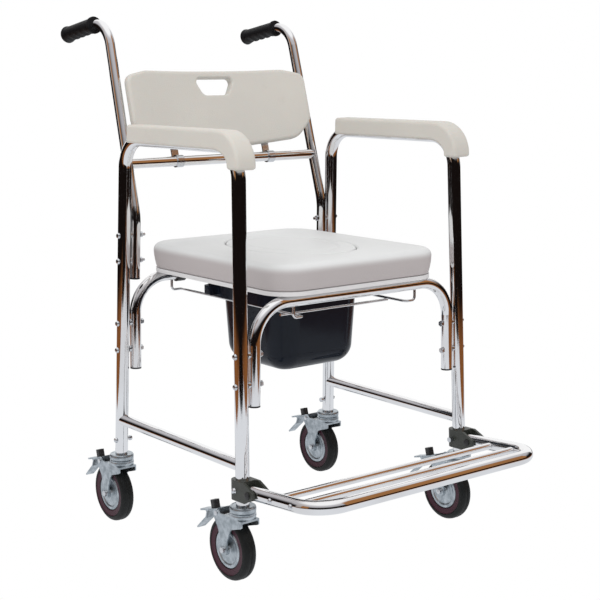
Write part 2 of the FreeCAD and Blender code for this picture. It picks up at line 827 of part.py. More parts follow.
def make_bucket():
    """A tapered pot with a wide stepped collar that rests on the rails."""
    half = dim("pot_half")
    depth = dim("pot_flange") - dim("pot_base")
    rise = dim("pot_rim") - dim("pot_flange")
    wall = 2.6
    collar_x = 133.0
    collar_y = 115.0
    body = pot_shape("bucket_body", half, 50, depth, 38.0)
    slab(body, "collar_outline", rise, 0, collar_x, collar_y, 42)
    slab(body, "rim_outline", 9.0, rise - 9, collar_x + 3, collar_y + 3, 45)
    lug = new_sketch(body, "lug_outline")
    lug.AttachmentOffset = shift(0, 0, 4)
    root = -collar_x + 1
    tip = -collar_x - 12
    draw(lug, [(root, 58, 0), (tip, 61, 5), (tip, 84, 5), (root, 88, 0)])
    pad(body, lug, 17.0)
    tray = new_body("bucket_tray")
    slab(tray, "tray_outline", rise, wall, collar_x - wall, collar_y - wall, 39)
    hollow = pot_shape("bucket_hollow", half - wall, 47, depth, 35.0)
    hollow.Placement = shift(0, 0, wall + 0.01)
    keep(cut(body, [tray, hollow]), "bucket", shift(0, 0, dim("pot_flange")))


# ---- footrest -------------------------------------------------------------------

def pivot_place():
    """The footrest's hinge line: on X, at this Y and Z before the origin shift."""
    spot = leg_frame(1, -1).multVec(V(0, -dim("pivot_forward"), dim("pivot_up")))
    return spot.y, spot.z


def foot_frame():
    """The footrest's frame: X across, -Y forwards along its slope, hinge at its origin."""
    y, z = pivot_place()
    return chain(shift(0, y, z), turn(V(1, 0, 0), -dim("foot_slope")))


def foot_half():
    spot = leg_frame(1, -1).multVec(V(0, 0, dim("pivot_up")))
    return spot.x


def make_footrest():
    half = foot_half()
    reach = dim("foot_reach")
    bend = dim("foot_bend")
    lie = Placement(V(0, 0, 0), Rotation(V(0, 0, -1), V(1, 0, 0), V(0, -1, 0), "ZXY"))
    points = [(-half, -11.5), (-half, reach, bend), (half, reach, bend), (half, -11.5)]
    hoop = tube("footrest_pipe", points, "dims.foot_od", lie)
    across = turn(V(0, 1, 0), 90)
    holes = [cylinder(4.02, 80, chain(shift(side * half - 40, 0, 0), across)) for _, side in SIDES]
    for place in bar_places():
        holes.append(cylinder(2.02, 2 * half + 80, chain(shift(-half - 40, place, 0), across)))
    keep(cut(hoop, holes), "footrest_tube", foot_frame())
    bars = []
    inside = half - dim("foot_od") / 2 - 0.25
    for place in bar_places():
        bars.append(cylinder("dims.foot_bar_od / 2", 2 * inside, chain(shift(-inside, place, 0), across)))
    bores = [cylinder(2.02, 2 * inside, chain(shift(-inside, place, 0), across)) for place in bar_places()]
    keep(cut(fuse(bars), bores), "footrest_bars", foot_frame())
    head = spun("bar_bolt", [(0, 3.2), (3.4, 2.6), (4.8, 0), (2, 0), (2, -40), (0, -40)])
    heads = [chain(foot_frame(), shift(side * (half + dim("foot_od") / 2), place, 0),
                   turn(V(0, 1, 0), 90 * side)) for _, side in SIDES for place in bar_places()]
    group("footrest_bolts", [(head, heads)])
    cheek = 18.9
    pin = spun("foot_pin", [(0, cheek + 3.4), (5.6, cheek + 2.6), (6.5, cheek), (4, cheek), (4, -cheek),
                            (6.5, -cheek), (5.6, -cheek - 2.6), (0, -cheek - 3.4)])
    pins = [chain(foot_frame(), shift(side * half, 0, 0), across) for _, side in SIDES]
    group("footrest_pivots", [(pin, pins)])


def bar_places():
    return (-56.0, -113.0)


def make_foot_bracket(name, side):
    """A moulded clevis clamped round the front leg."""
    low = 16.0
    tall = 36.0
    half = 18.2
    slot = 13.2
    forward = dim("pivot_forward")
    body = new_body(name + "_bracket_body")
    plan = new_sketch(body, name + "_bracket_plan")
    draw(plan, [(half, 18, 14), (-half, 18, 14), (-half, -forward - 15, 2), (half, -forward - 15, 2)])
    circle(plan, 0, 0, "dims.loop_od / 2 + 0.05")
    pad(body, plan, tall)
    gap = new_sketch(body, name + "_bracket_slot")
    draw(gap, [(slot, -forward + 18.5, 3), (-slot, -forward + 18.5, 3), (-slot, -90), (slot, -90)])
    pocket(body, gap, middle=True)
    nose = new_sketch(body, name + "_bracket_nose", "YZ_Plane")
    up = dim("pivot_up") - low
    draw(nose, [(-forward + 22, tall + 5, 0), (-forward - 4, up + 12, 8), (-forward - 15.5, up + 6, 0),
                (-90, up + 6, 0), (-90, tall + 5, 0)])
    pocket(body, nose, middle=True)
    chin = new_sketch(body, name + "_bracket_chin", "YZ_Plane")
    draw(chin, [(-forward + 16, -5, 0), (-forward + 8, 2, 8), (-forward - 15.5, 11, 0),
                (-90, 11, 0), (-90, -5, 0)])
    pocket(body, chin, middle=True)
    body.Placement = chain(leg_frame(side, -1), shift(0, 0, low))
    y, z = pivot_place()
    pin_hole = cylinder(4.02, 80, chain(shift(side * foot_half() - 40, y, z), turn(V(0, 1, 0), 90)))
    keep(cut(body, [pin_hole] + drills(stem_bolts(side, -1))), name + "_footrest_bracket")


# ---- casters --------------------------------------------------------------------

CASTERS = [("front_left", 1, -1), ("front_right", -1, -1), ("rear_left", 1, 1), ("rear_right", -1, 1)]
RACE_SPLIT = 135.0
RACE_TOP = 146.2
RACE_LOW = 124.0
CROWN_LOW = 120.2


def caster_spot(side, end):
    low = leg_frame(side, end).multVec(V(0, 0, dim("leg_cut")))
    return low.x, low.y


def make_caster_stems():
    """Rods in the leg ends, each with an upper swivel race and a kingpin."""
    bore = dim("loop_od") / 2 - dim("tube_wall") - 0.1
    race = dim("race_radius")
    shapes = []
    for _, side, end in CASTERS:
        x, y = caster_spot(side, end)
        rod_body = cylinder(bore, 54, chain(leg_frame(side, end), shift(0, 0, 3.0)))
        cup = [(0, RACE_TOP), (race - 4, RACE_TOP), (race, RACE_TOP - 3), (race, RACE_SPLIT + 1),
               (race - 2, RACE_SPLIT)]
        kingpin = [(5, RACE_SPLIT), (5, CROWN_LOW - 0.3), (7.5, CROWN_LOW - 0.3), (6.5, CROWN_LOW - 3),
                   (0, CROWN_LOW - 3)]
        head = spun("caster_race", cup + kingpin)
        head.Placement = shift(x, y, 0)
        shapes.append(cut(fuse([rod_body, head]), drills(stem_bolts(side, end))))
    doc.recompute()
    keep(fuse(shapes), "caster_stems")


def make_stem_bolts():
    """Cross bolts that lock the caster stems in the legs."""
    shank = dim("bolt_radius")
    kinds = []
    for name, ends, flange in (("front_stem_bolt", -1, 5.9), ("rear_stem_bolt", 1, 0.0)):
        length = dim("loop_od") + 2 * flange + 5
        low = flange - length
        bolt = spun(name, [(0, 4 + flange), (4, 3.4 + flange), (5.6, flange), (shank, flange),
                           (shank, low), (5, low), (5, low - 4), (0, low - 4)])
        places = [place for _, side in SIDES for place in stem_bolts(side, ends)]
        kinds.append((bolt, places))
    group("stem_bolts", kinds)


def behind_hinge(points):
    """Outline points given from the pedal's hinge line, set behind the swivel axis."""
    return [(point[0] + dim("pedal_back"),) + point[1:] for point in points]


def fork_plate():
    trail = dim("trail")
    axle = dim("wheel_radius")
    boss = 9.5
    rear = behind_hinge([(-10, RACE_LOW, 0), (-4, 129, 4), (8, 129, 7), (8, 114, 8), (-7, 92, 14)])
    foot = [(trail + boss, axle - boss, boss - 1), (trail - boss, axle - boss, boss - 1)]
    front = [(trail - boss, axle + 16, 10), (12, 101, 16), (-22, 112, 4)]
    return [(-22, RACE_LOW, 0)] + rear + foot + front


def hinge_spot():
    return shift(0, dim("pedal_back"), dim("pedal_rise"))


def make_caster(name, side, end):
    x, y = caster_spot(side, end)
    spot = shift(x, y, 0)
    trail = dim("trail")
    axle_z = dim("wheel_radius")
    outer = 19.5
    inner = 17.0
    # fork: a folded channel under the lower race
    fork = new_body(name + "_fork_body")
    plate = new_sketch(fork, name + "_fork_plate", "YZ_Plane")
    draw(plate, fork_plate())
    pad(fork, plate, 2 * outer, middle=True)
    throat = new_sketch(fork, name + "_fork_throat", "XZ_Plane")
    draw(throat, [(inner, CROWN_LOW, 1), (-inner, CROWN_LOW, 1), (-inner, 0, 0), (inner, 0, 0)])
    pocket(fork, throat, middle=True)
    ears = new_sketch(fork, name + "_fork_ears", "XY_Plane")
    draw(ears, [(inner, trail, 0), (inner, 90, 0), (-inner, 90, 0), (-inner, trail, 0)])
    pocket(fork, ears, middle=True)
    low = RACE_LOW - 0.5
    high = RACE_SPLIT - 0.3
    race = spun(name + "_race_body", [(0, low), (21, low), (23.5, low + 2.5), (23.5, high - 1.7),
                                      (21.5, high), (0, high)])
    across = turn(V(0, 1, 0), 90)
    tools = [cylinder(5.05, 60, shift(0, 0, 100)),
             cylinder(4.02, 60, chain(shift(-30, trail, axle_z), across)),
             cylinder(3.02, 60, chain(shift(-30), hinge_spot(), across))]
    keep(cut(fuse([fork, race]), tools), name + "_caster_fork", spot)
    # axle bolt and pedal pin
    seat = outer + 0.02
    axle = spun(name + "_axle_body", [(0, outer + 6), (5, outer + 5), (6.2, seat), (4, seat),
                                      (4, -seat), (6.2, -seat), (5.4, -outer - 5), (0, -outer - 6)])
    pin = spun(name + "_pin_body", [(0, outer + 2), (4.4, outer + 1.4), (4.4, seat), (3, seat),
                                    (3, -seat), (4.4, -seat), (4.4, -outer - 1.4), (0, -outer - 2)])
    group(name + "_caster_pins", [(axle, [chain(spot, shift(0, trail, axle_z), across)]),
                                  (pin, [chain(spot, hinge_spot(), across)])])
    make_wheel(name, chain(spot, shift(0, trail, axle_z), across))
    make_pedal(name, spot)


def make_wheel(name, place):
    rim = dim("hub_radius")
    radius = dim("wheel_radius")
    half = dim("wheel_width") / 2
    hub = spun(name + "_hub_body", [(4.06, 16.6), (9, 16.6), (10, 12), (rim - 5, 12), (rim, 9.5), (rim, -9.5),
                                    (rim - 5, -12), (10, -12), (9, -16.6), (4.06, -16.6)])
    keep(hub, name + "_caster_wheel", place)
    tyre = spun(name + "_tyre_body", [(rim + 0.02, half - 3), (radius - 12, half, 3), (radius, half - 6, 7),
                                      (radius, 6 - half, 7), (radius - 12, -half, 3), (rim + 0.02, 3 - half)])
    keep(tyre, name + "_caster_tyre", place)


def make_pedal(name, spot):
    """The brake lever: an upper tread, a lower release tongue and a hinge eye."""
    body = new_body(name + "_pedal_body")
    side = new_sketch(body, name + "_pedal_side", "YZ_Plane")
    tread = [(-6, 131.5, 0), (12, 124.4, 6), (66, 110, 0), (65.2, 107, 0), (43.5, 112.8, 3)]
    tongue = [(48.6, 99, 5), (78, 73.2, 0), (76, 71, 0), (46, 97, 5), (40, 113.8, 3)]
    eye = [(8, 119, 3), (5, 116, 3), (-5, 116, 4), (-6, 124, 0)]
    draw(side, behind_hinge(tread + tongue + eye))
    pad(body, side, 29.0, middle=True)
    taper_cut = new_sketch(body, name + "_pedal_plan", "XY_Plane")
    for way in (1, -1):
        flank = [(11, 16, 8), (16, 10, 0), (20, 10, 0), (20, 90, 0), (8, 90, 0)]
        draw(taper_cut, [(way * x, y + dim("pedal_back"), radius) for x, y, radius in flank])
    pocket(body, taper_cut, middle=True)
    pin_hole = cylinder(3.05, 60, chain(shift(-30), hinge_spot(), turn(V(0, 1, 0), 90)))
    keep(cut(body, [pin_hole]), name + "_brake_pedal", spot)
    fall = 14.4 / 54
    knob_back = 28.0
    knob_foot = 124.4 - (knob_back - 12) * fall + 0.05
    knob = new_body(name + "_knob_body")
    outline = new_sketch(knob, name + "_knob_outline")
    draw(outline, rounded_box(6.5, 7, 3))
    pad(knob, outline, 15.0)
    seat = shift(0, dim("pedal_back") + knob_back, knob_foot)
    foot = chain(spot, seat, turn(V(1, 0, 0), -math.degrees(math.atan(fall))))
    keep(knob, name + "_brake_knob", foot)


# ---- build, check and write -----------------------------------------------------

def build():
    fill_sheet()
    for name, side in SIDES:
        make_side_loop(name, side)
        make_side_rail(name, side)
        make_push_tube(name, side)
        make_armrest(name, side)
        make_grip(name, side)
        make_foot_bracket(name, side)
    for name, end in ENDS:
        make_bow(name, end)
    make_cross_tube()
    make_fasteners()
    make_end_plugs()
    make_back_panel()
    make_panel_brackets()
    make_panel_screws()
    make_bucket_rails()
    make_rail_bar()
    make_seat()
    make_seat_clips()
    make_bucket()
    make_footrest()
    make_caster_stems()
    make_stem_bolts()
    for name, side, end in CASTERS:
        make_caster(name, side, end)
    doc.recompute()


def check():
    for obj in doc.Objects:
        if "Invalid" in obj.State or "Error" in obj.State:
            raise RuntimeError("failed object: " + obj.Label)
    labels = [obj.Label for obj in parts]
    if len(set(labels)) != len(labels):
        raise RuntimeError("two sub-parts share a name")
    for obj in parts:
        if obj.Shape.isNull() or not obj.Shape.isValid():
            raise RuntimeError("bad shape: " + obj.Label)


def write():
    os.makedirs("parts", exist_ok=True)
    whole = FreeCAD.BoundBox()
    for obj in parts:
        obj.Shape.exportStep("parts/%s.step" % obj.Label)
        whole.add(obj.Shape.optimalBoundingBox())
        print(obj.Label, "solids", len(obj.Shape.Solids), "volume", round(obj.Shape.Volume))
    y, z = pivot_place()
    print("footrest pivot y %.2f z %.2f" % (y - dim("origin_shift"), z))
    print("rear bow y %.2f" % (bow_y(1) - dim("origin_shift")))
    for name, side, end in CASTERS:
        x, y = caster_spot(side, end)
        print(name, "caster axis x %.2f y %.2f" % (x, y - dim("origin_shift")))
    print("box", whole)
    print("nodes", len(parts))


build()
check()
write()
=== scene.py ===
import bpy
import json
import math
import numpy as np
from mathutils import Matrix, Vector


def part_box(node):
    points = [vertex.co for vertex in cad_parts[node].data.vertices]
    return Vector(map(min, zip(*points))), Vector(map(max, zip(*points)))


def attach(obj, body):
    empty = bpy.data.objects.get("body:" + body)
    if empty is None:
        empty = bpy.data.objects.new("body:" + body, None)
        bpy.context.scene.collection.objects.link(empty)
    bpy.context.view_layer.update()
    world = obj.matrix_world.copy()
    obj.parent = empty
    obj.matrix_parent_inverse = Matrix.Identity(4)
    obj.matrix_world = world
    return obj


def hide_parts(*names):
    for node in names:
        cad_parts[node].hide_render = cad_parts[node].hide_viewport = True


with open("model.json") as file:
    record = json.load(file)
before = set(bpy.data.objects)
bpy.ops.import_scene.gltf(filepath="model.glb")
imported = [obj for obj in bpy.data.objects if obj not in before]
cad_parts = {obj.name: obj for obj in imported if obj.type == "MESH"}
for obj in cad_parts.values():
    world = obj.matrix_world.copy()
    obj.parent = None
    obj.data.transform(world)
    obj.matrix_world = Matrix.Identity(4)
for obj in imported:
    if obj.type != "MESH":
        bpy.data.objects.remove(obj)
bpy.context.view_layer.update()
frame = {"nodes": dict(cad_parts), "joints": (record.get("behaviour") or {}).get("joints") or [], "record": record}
cadNodes = frame["nodes"]
print("frame loaded", len(cadNodes), "nodes")

# camera, light and floor

cameraLook = dict(spot=(-1.5802, -2.0523, 0.9041), heading=-38.178, pitch=9.886, roll=-0.203, lens=80.44)

def makeCamera():
    data = bpy.data.cameras.new("viewer")
    data.lens = cameraLook["lens"]
    data.sensor_width = 36.0
    camera = bpy.data.objects.new("viewer", data)
    bpy.context.scene.collection.objects.link(camera)
    turn = (Matrix.Rotation(math.radians(cameraLook["heading"]), 4, "Z")
            @ Matrix.Rotation(math.radians(90 - cameraLook["pitch"]), 4, "X")
            @ Matrix.Rotation(math.radians(cameraLook["roll"]), 4, "Z"))
    camera.matrix_world = Matrix.Translation(cameraLook["spot"]) @ turn
    bpy.context.scene.camera = camera
    bpy.context.scene.view_settings.view_transform = "Standard"

makeCamera()

# shader helpers

class Wire:
    # wraps one socket; an expression on wires adds Math nodes
    def __init__(self, painter, socket):
        self.painter = painter
        self.socket = socket

    def math(self, operation, *inputs):
        return self.painter.node("ShaderNodeMath", {"operation": operation}, inputs)

    def __add__(self, other):
        return self.math("ADD", self, other)

    def __radd__(self, other):
        return self.math("ADD", other, self)

    def __sub__(self, other):
        return self.math("SUBTRACT", self, other)

    def __rsub__(self, other):
        return self.math("SUBTRACT", other, self)

    def __mul__(self, other):
        return self.math("MULTIPLY", self, other)

    def __rmul__(self, other):
        return self.math("MULTIPLY", other, self)

    def soft(self, low, high):
        # 0 below low, 1 above high, smooth between
        return self.painter.node("ShaderNodeMapRange", {"interpolation_type": "SMOOTHSTEP"},
                                 (self, low, high))


class Painter:
    # builds one node tree
    def __init__(self, tree):
        self.tree = tree
        tree.nodes.clear()

    def node(self, kind, settings=None, values=(), out=0):
        # type, settings first, then values or links by number or by name
        made = self.tree.nodes.new(kind)
        for key, value in (settings or {}).items():
            if key == "stops":
                ramp = made.color_ramp
                while len(ramp.elements) < len(value):
                    ramp.elements.new(0.5)
                for element, (at, colour) in zip(ramp.elements, value):
                    element.position = at
                    element.color = (*colour, 1)
            else:
                setattr(made, key, value)
        pairs = values.items() if isinstance(values, dict) else enumerate(values)
        for key, value in pairs:
            if isinstance(value, Wire):
                self.tree.links.new(value.socket, made.inputs[key])
            elif value is not None:
                made.inputs[key].default_value = value
        return Wire(self, made.outputs[out]) if made.outputs else None

    def spot(self):
        return self.node("ShaderNodeTexCoord", out="Object")

    def noise(self, scale, detail=3.0, rough=0.5, where=None):
        return self.node("ShaderNodeTexNoise", None,
                         {"Vector": where or self.spot(), "Scale": scale, "Detail": detail,
                          "Roughness": rough},
                         "Fac")

    def cells(self, scale, where=None):
        return self.node("ShaderNodeTexVoronoi", {"feature": "SMOOTH_F1"},
                         {"Vector": where or self.spot(), "Scale": scale, "Smoothness": 0.6}, "Distance")

    def blend(self, mask, first, second):
        # colours mix through a Mix node
        return self.node("ShaderNodeMix", {"data_type": "RGBA"},
                         {0: mask, 6: self.rgba(first), 7: self.rgba(second)}, 2)

    def rgba(self, colour):
        return colour if isinstance(colour, Wire) else (*colour, 1)

    def own(self, name):
        return self.node("ShaderNodeAttribute", {"attribute_name": name}, out="Fac")

    def stretched(self, factors):
        return self.node("ShaderNodeMapping", None, {"Vector": self.spot(), "Scale": factors})

    def bump(self, height, strength, distance):
        return self.node("ShaderNodeBump", None,
                         {"Strength": strength, "Distance": distance, "Height": height}, "Normal")


def makeFinish(name, paint, **fixed):
    # a material whose shader has fixed values, and the varying ones that paint gives
    material = bpy.data.materials.new(name)
    material.use_nodes = True
    painter = Painter(material.node_tree)
    values = {key.replace("_", " "): value for key, value in fixed.items()}
    values.update(paint(painter))
    shader = painter.node("ShaderNodeBsdfPrincipled", None, values)
    painter.node("ShaderNodeOutputMaterial", None, {"Surface": shader})
    return material

# finishes

def chromePaint(p):
    cloud = p.noise(9.0)
    speck = p.noise(260.0, 2.0).soft(0.70, 0.78)
    grain = p.noise(900.0, 2.0)
    return {"Base Color": p.blend(cloud.soft(0.35, 0.7), (0.90, 0.90, 0.91), (0.83, 0.82, 0.82)),
            "Roughness": 0.035 + 0.04 * cloud + 0.12 * speck,
            "Normal": p.bump(grain, 0.05, 0.0002)}

def rodPaint(p):
    cloud = p.noise(40.0)
    return {"Base Color": p.blend(cloud, (0.72, 0.72, 0.74), (0.82, 0.81, 0.80)),
            "Roughness": 0.12 + 0.10 * cloud, "Normal": p.bump(p.noise(1200.0), 0.06, 0.0002)}

def creamPaint(p):
    tone = p.noise(6.0, 4.0)
    pebble = p.cells(520.0)
    pit = p.cells(1100.0)
    grime = p.noise(45.0, 4.0).soft(0.62, 0.80)
    base = p.blend(tone.soft(0.3, 0.7), (0.530, 0.504, 0.462), (0.500, 0.478, 0.440))
    return {"Base Color": p.blend(grime * 0.25, base, (0.43, 0.40, 0.36)),
            "Roughness": 0.42 + 0.16 * pebble + 0.06 * tone,
            "Normal": p.bump(pebble + 0.45 * pit, 0.30, 0.0006)}

def vinylPaint(p):
    tone = p.noise(5.0, 4.0)
    grain = p.cells(420.0)
    fine = p.noise(1500.0, 3.0)
    # painted shade: where the wall mark is set, the seat's side walls take a darker, pinker copy of the vinyl
    # colour than its top
    side = p.own("wall")
    base = p.blend(tone.soft(0.3, 0.7), (0.630, 0.634, 0.634), (0.602, 0.606, 0.606))
    return {"Base Color": p.blend(side, base, (0.430, 0.395, 0.395)),
            "Roughness": 0.40 + 0.18 * grain, "Normal": p.bump(grain + 0.4 * fine, 0.26, 0.0005)}

def gripPaint(p):
    grain = p.cells(700.0)
    dust = p.noise(60.0, 4.0).soft(0.55, 0.8)
    return {"Base Color": p.blend(dust * 0.6, (0.005, 0.005, 0.006), (0.015, 0.015, 0.016)),
            "Roughness": 0.44 + 0.20 * grain, "Normal": p.bump(grain, 0.45, 0.0006)}

def boltPaint(p):
    cloud = p.noise(160.0, 3.0)
    return {"Base Color": p.blend(cloud, (0.62, 0.64, 0.67), (0.80, 0.81, 0.83)),
            "Roughness": 0.16 + 0.14 * cloud, "Normal": p.bump(p.noise(2200.0), 0.08, 0.0002)}

def zincPaint(p):
    cloud = p.noise(70.0, 4.0, 0.6)
    draw = p.noise(900.0, 2.0, 0.5, p.stretched((1.0, 1.0, 0.06)))
    rust = p.noise(210.0, 5.0).soft(0.68, 0.78)
    base = p.blend(cloud.soft(0.3, 0.7), (0.30, 0.34, 0.37), (0.56, 0.61, 0.65))
    return {"Base Color": p.blend(rust * 0.22, base, (0.36, 0.33, 0.30)),
            "Roughness": 0.22 + 0.12 * cloud + 0.05 * draw, "Metallic": 0.85 + 0.12 * cloud,
            "Normal": p.bump(draw, 0.10, 0.0003)}

def blackPaint(p):
    grain = p.cells(800.0)
    return {"Base Color": p.blend(p.noise(40.0), (0.010, 0.010, 0.011), (0.020, 0.020, 0.021)),
            "Roughness": 0.36 + 0.18 * grain, "Normal": p.bump(grain, 0.20, 0.0004)}

def bracketPaint(p):
    grain = p.cells(650.0)
    scuff = p.noise(90.0, 5.0).soft(0.58, 0.76)
    return {"Base Color": p.blend(scuff * 0.5, (0.030, 0.033, 0.027), (0.065, 0.068, 0.058)),
            "Roughness": 0.30 + 0.20 * grain, "Normal": p.bump(grain, 0.18, 0.0004)}

def boardPaint(p):
    grain = p.cells(500.0)
    return {"Base Color": p.blend(p.noise(14.0), (0.60, 0.59, 0.60), (0.66, 0.65, 0.65)),
            "Roughness": 0.42 + 0.14 * grain, "Normal": p.bump(grain, 0.18, 0.0004)}

def bucketPaint(p):
    flow = p.noise(11.0, 3.0)
    scuff = p.noise(320.0, 3.0, 0.6, p.stretched((1.0, 1.0, 0.12))).soft(0.66, 0.80)
    return {"Base Color": p.blend(flow, (0.0045, 0.0065, 0.012), (0.009, 0.012, 0.019)),
            "Roughness": 0.09 + 0.05 * flow + 0.16 * scuff, "Normal": p.bump(flow, 0.12, 0.003)}

def tyrePaint(p):
    ring = p.own("ring")
    grain = p.cells(600.0)
    dust = p.noise(130.0, 4.0).soft(0.5, 0.8)
    rubber = p.blend(dust * 0.6, (0.006, 0.007, 0.007), (0.015, 0.017, 0.016))
    return {"Base Color": p.blend(ring, rubber, (0.045, 0.010, 0.020)),
            "Roughness": 0.40 + 0.20 * grain - 0.10 * ring, "Normal": p.bump(grain, 0.22, 0.0005)}

finishes = {
    "chrome_tube": makeFinish("bright chrome", chromePaint, Metallic=1.0),
    "rod_steel": makeFinish("plated rod", rodPaint, Metallic=1.0),
    "moulded_plastic": makeFinish("cream moulding", creamPaint, IOR=1.48, Specular_IOR_Level=0.42,
                                  Subsurface_Weight=0.06, Subsurface_Scale=0.004),
    "seat_vinyl": makeFinish("seat skin", vinylPaint, IOR=1.46, Specular_IOR_Level=0.40),
    "grip_rubber": makeFinish("grip rubber", gripPaint, IOR=1.50, Specular_IOR_Level=0.25),
    "fastener_steel": makeFinish("bolt plate", boltPaint, Metallic=1.0),
    "zinc_steel": makeFinish("zinc sheet", zincPaint),
    "black_plastic": makeFinish("black nylon", blackPaint, IOR=1.50),
    "bracket_plastic": makeFinish("bracket nylon", bracketPaint, IOR=1.52),
    "board_plastic": makeFinish("board moulding", boardPaint, IOR=1.48),
    "bucket_plastic": makeFinish("bucket gloss", bucketPaint, IOR=1.50, Specular_IOR_Level=0.16,
                                Coat_Roughness=0.04, Coat_Weight=0.08),
    "tyre_rubber": makeFinish("tyre rubber", tyrePaint, IOR=1.50, Specular_IOR_Level=0.28),
}
print("finishes made", len(finishes))

def paintFrame():
    # every CAD node takes the finish of its slot
    for part in frame["record"]["subparts"]:
        node = cadNodes[part["node"]]
        for slotSpot in node.material_slots:
            slotSpot.material = finishes[part["material_slot"]]
        if not node.material_slots:
            node.data.materials.append(finishes[part["material_slot"]])

paintFrame()

# world and floor

studio = dict(toViewer=(-0.618, -0.786, 0.0), toRight=(0.786, -0.618, 0.0), paperHalf=1.3, paperAhead=1.95,
              woodReach=3.0, woodFade=0.8, darkHalf=(0.9, 1.4), dark=(0.007, 0.0045, 0.004),
              wood=(0.30, 0.115, 0.035), darkWood=(0.16, 0.055, 0.018), grey=(0.52, 0.51, 0.53),
              white=(1.0, 1.0, 1.0), fill=(0.85, 0.85, 0.85), paper=(0.74, 0.76, 0.79),
              window=(0.50, 0.46, 0.44), warm=(0.35, 0.16, 0.06), matt=(0.95, 0.95, 0.95, 1),
              glow=(1.0, 1.0, 1.0, 1), floorRadius=30.0, floorCorners=96, floorDrop=0.0004)

# where each patch of the reflected room begins and ends, as parts of a unit direction
room = dict(backdrop=(0.70, 0.82), windowSide=(0.90, 0.94), windowAhead=(0.02, 0.10), windowUp=(0.0, 0.05),
            greyUp=(0.20, 0.52), whiteUp=(0.62, 0.90), rightSide=(0.88, 0.95), rightFrom=(-0.26, -0.16),
            rightTo=(0.34, 0.44), rightFoot=(0.10, 0.20), rightTop=(0.66, 0.84), leftSide=(0.66, 0.74),
            leftFrom=(0.34, 0.42), leftTo=(0.70, 0.78), leftFoot=(0.02, 0.06), leftTop=(0.42, 0.50))

def facing(p, vector, axis):
    return p.node("ShaderNodeVectorMath", {"operation": "DOT_PRODUCT"}, (vector, studio[axis]), "Value")

def makeWorld():
    # plain white light; in reflections the room is dark towards the viewer and at the sides, pale overhead
    world = bpy.data.worlds.new("studio")
    bpy.context.scene.world = world
    world.use_nodes = True
    p = Painter(world.node_tree)
    direction = p.node("ShaderNodeTexCoord", out="Generated")
    height = p.node("ShaderNodeSeparateXYZ", None, (direction,), "Z")
    flat = p.node("ShaderNodeVectorMath", {"operation": "MULTIPLY"}, (direction, (1, 1, 0)))
    compass = p.node("ShaderNodeVectorMath", {"operation": "NORMALIZE"}, (flat,))
    ahead = facing(p, compass, "toViewer")
    side = facing(p, compass, "toRight")
    backdrop = (-1 * ahead).soft(*room["backdrop"])
    window = (-1 * side).soft(*room["windowSide"]) * ahead.soft(*room["windowAhead"])
    window = window * height.soft(*room["windowUp"])
    lower = p.blend(height.soft(*room["greyUp"]), studio["dark"], studio["grey"])
    glazed = p.blend(window * 0.8, lower, studio["window"])
    right = side.soft(*room["rightSide"]) * ahead.soft(*room["rightFrom"])
    right = right * (1 - ahead.soft(*room["rightTo"]))
    right = right * height.soft(*room["rightFoot"]) * (1 - height.soft(*room["rightTop"]))
    left = (-1 * side).soft(*room["leftSide"]) * ahead.soft(*room["leftFrom"])
    left = left * (1 - ahead.soft(*room["leftTo"]))
    left = left * height.soft(*room["leftFoot"]) * (1 - height.soft(*room["leftTop"]))
    furnished = p.blend(height.soft(*room["whiteUp"]), glazed, studio["white"])
    upper = p.blend(right + left, furnished, studio["warm"])
    seen = p.blend(backdrop, upper, studio["white"])
    glossy = p.node("ShaderNodeLightPath", out="Is Glossy Ray")
    direct = p.node("ShaderNodeLightPath", out="Is Camera Ray")
    lit = p.blend(direct, p.blend(glossy, studio["fill"], seen), studio["white"])
    light = p.node("ShaderNodeBackground", None, {"Color": lit, "Strength": 1.0})
    p.node("ShaderNodeOutputWorld", None, {"Surface": light})

def makeFloor():
    # a flat disc: (r cos t, r sin t, -drop); plain white when seen directly, matt for the light it gives
    # back, and in reflections a paper strip with a timber floor round it
    corners, radius = studio["floorCorners"], studio["floorRadius"]
    turnSteps = np.linspace(0, 2 * np.pi, corners, endpoint=False)
    rim = np.stack([radius * np.cos(turnSteps), radius * np.sin(turnSteps),
                    np.full(corners, -studio["floorDrop"])], 1)
    mesh = bpy.data.meshes.new("floor")
    mesh.from_pydata(rim.tolist(), [], [list(range(corners))])
    floor = bpy.data.objects.new("floor", mesh)
    bpy.context.scene.collection.objects.link(floor)
    material = bpy.data.materials.new("floor")
    material.use_nodes = True
    p = Painter(material.node_tree)
    where = p.spot()
    reach = p.node("ShaderNodeVectorMath", {"operation": "LENGTH"}, (where,), "Value")
    across = facing(p, where, "toRight")
    ahead = facing(p, where, "toViewer")
    wide = (across * across).soft(studio["paperHalf"] ** 2, (studio["paperHalf"] + 0.10) ** 2)
    near = ahead.soft(studio["paperAhead"], studio["paperAhead"] + 0.12)
    off = 1 - (1 - wide) * (1 - near)
    plank = p.noise(2.2, 3.0, 0.5, p.stretched((1.0, 6.0, 1.0)))
    timber = p.blend(plank.soft(0.35, 0.65), studio["wood"], studio["darkWood"])
    darkFrom, darkTo = studio["darkHalf"]
    boards = p.blend((across * across).soft(darkFrom ** 2, darkTo ** 2), studio["dark"], timber)
    fade = reach.soft(studio["woodReach"] - studio["woodFade"], studio["woodReach"] + studio["woodFade"])
    beyond = p.blend(fade, boards, studio["dark"])
    matt = p.node("ShaderNodeBsdfDiffuse", None, {"Color": studio["matt"]})
    glow = p.node("ShaderNodeEmission", None, {"Color": studio["glow"]})
    direct = p.node("ShaderNodeLightPath", out="Is Camera Ray")
    pale = p.node("ShaderNodeMixShader", None, (direct, matt, glow))
    shown = p.node("ShaderNodeEmission", None, {"Color": p.blend(off, studio["paper"], beyond)})
    glossy = p.node("ShaderNodeLightPath", out="Is Glossy Ray")
    both = p.node("ShaderNodeMixShader", None, (glossy, pale, shown))
    p.node("ShaderNodeOutputMaterial", None, {"Surface": both})
    mesh.materials.append(material)

